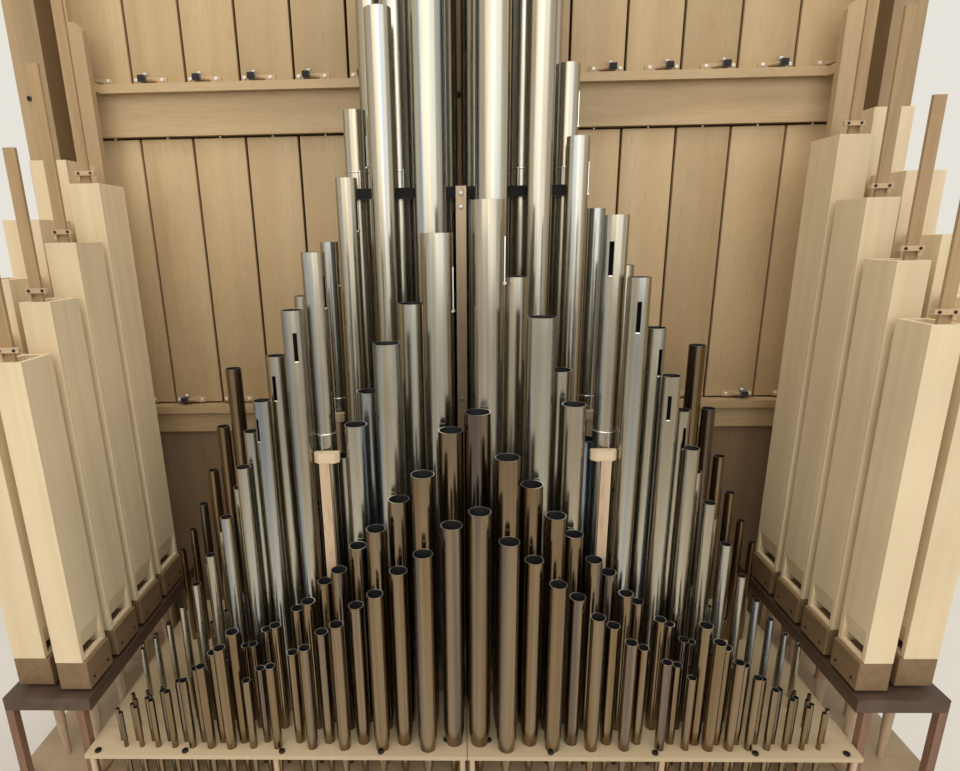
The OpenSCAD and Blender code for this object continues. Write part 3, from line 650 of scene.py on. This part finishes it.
def shadeTemplate():
    s, parts = shadeSettings, fittingParts
    half, thick = s["width"] / 2, s["thick"] / 2
    board = boxPiece("board", (-half, -thick, s["clear"]), (half, thick, s["clear"] + s["height"]),
                     s["bevel"], 2)
    board.data.materials.append(woods["shadeOak"])
    pins = []
    highPin = tuple(s["height"] + rise for rise in s["highPin"])
    for low, high in (s["lowPin"], highPin):
        pin = rodPiece("pin", (0, 0, low), (0, 0, high), s["pinRadius"], 16, s["pinBevel"])
        pin.data.materials.append(steel)
        pins.append(pin)
    # fitting at the foot, drawn for the right-hand side
    plate = fittingPart("plate", woods["railOak"], 0.001)
    foot = fittingPart("foot", woods["uprightOak"], 0.0008)
    block = fittingPart("block", felt, 0.0022, 3)
    start, end = parts["arm"]
    arm = rodPiece("arm", fromFront(start), fromFront(end), parts["armRadius"], 14, 0.001)
    # the arm is narrower at the end away from the block
    narrowY, narrowZ = parts["armNarrow"]
    middle = fromFront((0, parts["armMiddle"], end[2]))
    tip = min(vertex.co.x for vertex in arm.data.vertices)
    for vertex in arm.data.vertices:
        if vertex.co.x < tip + parts["armTaper"]:
            vertex.co.y = middle[1] + (vertex.co.y - middle[1]) * narrowY
            vertex.co.z = middle[2] + (vertex.co.z - middle[2]) * narrowZ
    arm.data.materials.append(woods["slatOak"])
    bolts = [copyAt(whiteBolt, "bolt", fromFront(spot)) for spot in parts["plateBolts"]]
    bolts.append(copyAt(whiteBolt, "bolt", fromFront(parts["blockBolt"]),
                        math.radians(parts["blockBoltTilt"]), "X"))
    return joinPieces([board, plate, foot, block, arm] + pins + bolts, "shadeModel")


shadeModel = shadeTemplate()
shadeCount = shadeSettings["count"]
for index in range(1, shadeCount + 1):
    x = (index - (shadeCount + 1) / 2) * shadeSettings["pitch"]
    leftSide = index <= shadeCount // 2
    tiers = [copyAt(shadeModel, "tier", (x, shadeSettings["y"], ledge), flip=leftSide)
             for ledge in shadeSettings["ledges"]]
    shade = joinPieces(tiers, f"shadeColumn{index}")
    smooth(shade, 40)
    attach(shade, f"shades_{index}")
    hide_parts(f"swell_shades_{index}")
dropPiece(shadeModel)
print("stage: shades made")


# swell box walls: boards side by side, each with its edges broken
boxSettings = {"boardWidth": 0.2, "bevel": 0.0018}


def boardedWall(nodeName, name, axis, woodName):
    s = boxSettings
    boards = []
    for low, high in looseBoxes(nodeName):
        count = max(1, round((high[axis] - low[axis]) / s["boardWidth"]))
        width = (high[axis] - low[axis]) / count
        for index in range(count):
            start, end = list(low), list(high)
            start[axis] = low[axis] + index * width
            end[axis] = start[axis] + width
            boards.append(boxPiece("board", start, end, s["bevel"], 2))
    dress(joinPieces(boards, name), woods[woodName], replaces=(nodeName,))


boardedWall("box_back", "boxBackBoards", 0, "boxBoard")
boardedWall("box_sides", "boxSideBoards", 1, "sideBoard")
boardedWall("box_roof", "boxRoofBoards", 0, "roofBoard")
print("stage: box walls made")


# wooden pipes: four boards each, with a cut-up mouth on the inner side

woodSettings = {
    "wall": 0.013, "sill": 0.008, "mouth": 0.022, "lip": 0.050,
    "lipEdge": 0.003, "lipShare": 0.98,   # about the thickness left at the lip, and how much is planed back
    "bevel": 0.0009, "sillBevel": 0.0007, "capBevel": 0.0025,
}


def woodPipe(low, high, side):
    s = woodSettings
    wall = s["wall"]
    front = boxPiece("front", (low.x, low.y, low.z), (high.x, low.y + wall, high.z), s["bevel"])
    back = boxPiece("back", (low.x, high.y - wall, low.z), (high.x, high.y, high.z), s["bevel"])
    outerX = (high.x - wall, high.x) if side > 0 else (low.x, low.x + wall)
    innerX = (low.x, low.x + wall) if side > 0 else (high.x - wall, high.x)
    outer = boxPiece("outer", (outerX[0], low.y + wall, low.z),
                     (outerX[1], high.y - wall, high.z), s["bevel"])
    mouthTop = low.z + s["sill"] + s["mouth"]
    inner = boxPiece("inner", (innerX[0], low.y + wall, mouthTop),
                     (innerX[1], high.y - wall, high.z), s["bevel"])
    # the upper lip is planed back on its outer face
    makeActive(inner)
    bpy.ops.object.mode_set(mode="EDIT")
    bpy.ops.mesh.select_all(action="SELECT")
    bpy.ops.mesh.bisect(plane_co=(0, 0, mouthTop + s["lip"]), plane_no=(0, 0, 1))
    leaveEdit()
    face = innerX[0] if side > 0 else innerX[1]
    for vertex in inner.data.vertices:
        rise = (vertex.co.z - mouthTop) / s["lip"]
        if rise < s["lipShare"] and abs(vertex.co.x - face) < wall * 0.5:
            vertex.co.x += side * (wall - s["lipEdge"]) * (1 - max(rise, 0)) * s["lipShare"]
    sill = boxPiece("sill", (innerX[0], low.y + wall, low.z),
                    (innerX[1], high.y - wall, low.z + s["sill"]), s["sillBevel"])
    return [front, back, outer, inner, sill]


for nodeName, side in (("wood_pipes_left", -1), ("wood_pipes_right", 1)):
    boards = []
    for low, high in looseBoxes(nodeName):
        boards += woodPipe(low, high, side)
    joined = joinPieces(boards, "woodPipesLeft" if side < 0 else "woodPipesRight")
    dress(joined, woods["pipeMaple"], replaces=(nodeName,))
caps = []
for low, high in looseBoxes("wood_pipe_caps"):
    caps.append(boxPiece("cap", low, high, woodSettings["capBevel"], 3))
dress(joinPieces(caps, "woodPipeCaps"), woods["capOak"], replaces=("wood_pipe_caps",))
print("stage: wooden pipes made")


# screws and bolts

fittingSettings = {
    "capShares": (0.2, 0.8), "capRise": 0.3,            # of a cap's depth and height
    "clampOffsets": (-0.016, 0.016), "clampDrop": 0.0055,
    "bungCount": 7, "bungFirst": -0.86, "bungStep": 0.3, "bungFront": -0.9, "bungRows": (0.44, 0.34),
}
# rows of bolts and screws: piece, place in Y, size, and where each sits in X and Z
boltRows = (
    (steelScrew, -0.446, 1.3, ((0.0, 1.962), (0.0, 1.928), (0.0, 1.413))),
    (darkBolt, -0.142, 0.9, ((-1.150, 2.52), (-1.146, 2.40), (-1.142, 1.98), (1.148, 2.62), (1.146, 2.20))),
    (darkBolt, -0.113, 1.2, ((0.0, 2.26),)),
    (darkBolt, -0.010, 1.0, ((1.36, 2.66), (-1.36, 2.3))),
)
fittings = []
for low, high in looseBoxes("wood_pipe_caps"):
    # two screws hold each cap, on its inner side
    rightSide = low.x > 0
    face = low.x if rightSide else high.x
    turn = -math.pi / 2 if rightSide else math.pi / 2
    z = low.z + (high.z - low.z) * fittingSettings["capRise"]
    for share in fittingSettings["capShares"]:
        y = low.y + (high.y - low.y) * share
        fittings.append(copyAt(smallScrew, "screw", (face, y, z), turn, "Z"))
for low, high in looseBoxes("slat_clamps"):
    middle = (low.x + high.x) / 2
    for offset in fittingSettings["clampOffsets"]:
        place = (middle + offset, low.y, high.z - fittingSettings["clampDrop"])
        fittings.append(copyAt(smallScrew, "screw", place))
for piece, y, size, spots in boltRows:
    for x, z in spots:
        fittings.append(copyAt(piece, "bolt", (x, y, z), size=size))
for spot in range(fittingSettings["bungCount"]):  # screws along the bung boards
    x = fittingSettings["bungFirst"] + spot * fittingSettings["bungStep"]
    for z in fittingSettings["bungRows"]:
        fittings.append(copyAt(steelScrew, "screw", (x, fittingSettings["bungFront"], z), size=1.2))
dress(joinPieces(fittings, "screwsAndBolts"), None)
print("stage: fittings made")


# screws in the rack boards, their black heads drawn large as painted shade of the screw holes

rackSettings = {"top": 0.620, "lift": 0.0002, "size": 2.3}
# each row of screws: its place in Y, and the places in X
rackRows = (
    (-0.878, (-0.930, -0.708, -0.463, -0.215, 0.206, 0.462, 0.705, 0.925)),
    (-0.840, (-0.052, 0.055)),
)
rackScrewsAndHoleShade = []
for y, places in rackRows:
    for x in places:
        spot = (x, y, rackSettings["top"] + rackSettings["lift"])
        rackScrewsAndHoleShade.append(copyAt(smallScrew, "screw", spot, -math.pi / 2, "X", rackSettings["size"]))
dress(joinPieces(rackScrewsAndHoleShade, "rackScrewsAndHoleShade"), None)


# the room: pale floor and backdrop, camera and lights

deselectAll()
bpy.ops.mesh.primitive_plane_add(size=30, location=(0, 0, 0))
floor = bpy.context.object
floor.name = "studioFloor"
editAll()
bpy.ops.mesh.subdivide(number_cuts=2)
leaveEdit()
floor.data.materials.append(plainMaterial("paleFloor", (0.90, 0.87, 0.81), 0.7, 0.0, grain=3,
                                          spread=0.03, bump=0.02))

# camera, glossy and transmission rays meet the backdrop, and the rest get the soft light
studio = {
    "backdrop": (0.80, 0.77, 0.70, 1), "backdropPower": 1.0,
    "soft": (1.0, 0.96, 0.90, 1), "softPower": 0.52,
}
world = bpy.data.worlds.new("studio")
bpy.context.scene.world = world
world.use_nodes = True
worldTree = world.node_tree
worldTree.nodes.clear()
worldOut = worldTree.nodes.new("ShaderNodeOutputWorld")
seenBackdrop = worldTree.nodes.new("ShaderNodeBackground")
seenBackdrop.inputs["Color"].default_value = studio["backdrop"]
seenBackdrop.inputs["Strength"].default_value = studio["backdropPower"]
softLight = worldTree.nodes.new("ShaderNodeBackground")
softLight.inputs["Color"].default_value = studio["soft"]
softLight.inputs["Strength"].default_value = studio["softPower"]
rayKind = worldTree.nodes.new("ShaderNodeLightPath")
seenRays = worldTree.nodes.new("ShaderNodeMath")
seenRays.operation = "MAXIMUM"
worldTree.links.new(rayKind.outputs["Is Camera Ray"], seenRays.inputs[0])
worldTree.links.new(rayKind.outputs["Is Transmission Ray"], seenRays.inputs[1])
glossRays = worldTree.nodes.new("ShaderNodeMath")
glossRays.operation = "MAXIMUM"
worldTree.links.new(seenRays.outputs["Value"], glossRays.inputs[0])
worldTree.links.new(rayKind.outputs["Is Glossy Ray"], glossRays.inputs[1])
backdropMix = worldTree.nodes.new("ShaderNodeMixShader")
worldTree.links.new(glossRays.outputs["Value"], backdropMix.inputs["Fac"])
worldTree.links.new(softLight.outputs["Background"], backdropMix.inputs[1])
worldTree.links.new(seenBackdrop.outputs["Background"], backdropMix.inputs[2])
worldTree.links.new(backdropMix.outputs["Shader"], worldOut.inputs["Surface"])

lamps = {
    "keyLamp": {"place": (-0.85, -2.9, 3.3), "aim": (0.25, -0.2, 1.6), "size": (3.2, 3.2), "power": 44,
                "colour": (1.0, 0.93, 0.82)},
    "fillLamp": {"place": (0.95, -2.9, 2.9), "aim": (-0.3, -0.2, 1.6), "size": (3.0, 3.0), "power": 30,
                 "colour": (0.96, 0.97, 1.0)},
    "topLamp": {"place": (0.0, -0.9, 4.7), "aim": (0, -0.7, 1.4), "size": (2.4, 1.0), "power": 34,
                "colour": (1.0, 0.95, 0.87)},
    "rearLamp": {"place": (1.5, 5.0, 4.0), "aim": (0, 0.6, 1.5), "size": (3, 3), "power": 120,
                 "colour": (1.0, 0.97, 0.92)},
}
for lampName, lamp in lamps.items():
    light = bpy.data.lights.new(lampName, "AREA")
    light.shape = "RECTANGLE"
    light.size, light.size_y = lamp["size"]
    light.energy = lamp["power"]
    light.color = lamp["colour"]
    lampObject = bpy.data.objects.new(lampName, light)
    bpy.context.scene.collection.objects.link(lampObject)
    lampObject.location = lamp["place"]
    direction = Vector(lamp["aim"]) - Vector(lamp["place"])
    lampObject.rotation_mode = "QUATERNION"
    lampObject.rotation_quaternion = direction.to_track_quat("-Z", "Y")

view = {"place": (-0.0216, -2.103, 1.855), "pitch": 0.27179, "yaw": -0.02844, "roll": 0.018342,
        "lens": 22.82, "shift": (0.0436, 0.0217)}
pitch, yaw, roll = view["pitch"], view["yaw"], view["roll"]
ahead = Vector((math.sin(yaw) * math.cos(pitch), math.cos(yaw) * math.cos(pitch), -math.sin(pitch)))
rightward = Vector((math.cos(yaw), -math.sin(yaw), 0))
upward = Vector((math.sin(yaw) * math.sin(pitch), math.cos(yaw) * math.sin(pitch), math.cos(pitch)))
pictureRight = math.cos(roll) * rightward - math.sin(roll) * upward
pictureUp = math.sin(roll) * rightward + math.cos(roll) * upward
turned = Matrix((pictureRight, pictureUp, -ahead)).transposed().to_4x4()
cameraData = bpy.data.cameras.new("photoView")
cameraData.lens = view["lens"]
cameraData.sensor_width = 36
cameraData.shift_x, cameraData.shift_y = view["shift"]
cameraData.clip_start, cameraData.clip_end = 0.02, 60
camera = bpy.data.objects.new("photoView", cameraData)
bpy.context.scene.collection.objects.link(camera)
camera.matrix_world = Matrix.Translation(view["place"]) @ turned
bpy.context.scene.camera = camera
bpy.context.scene.view_settings.view_transform = "Standard"

for spare in (whiteBolt, darkBolt, smallScrew, steelScrew):
    dropPiece(spare)
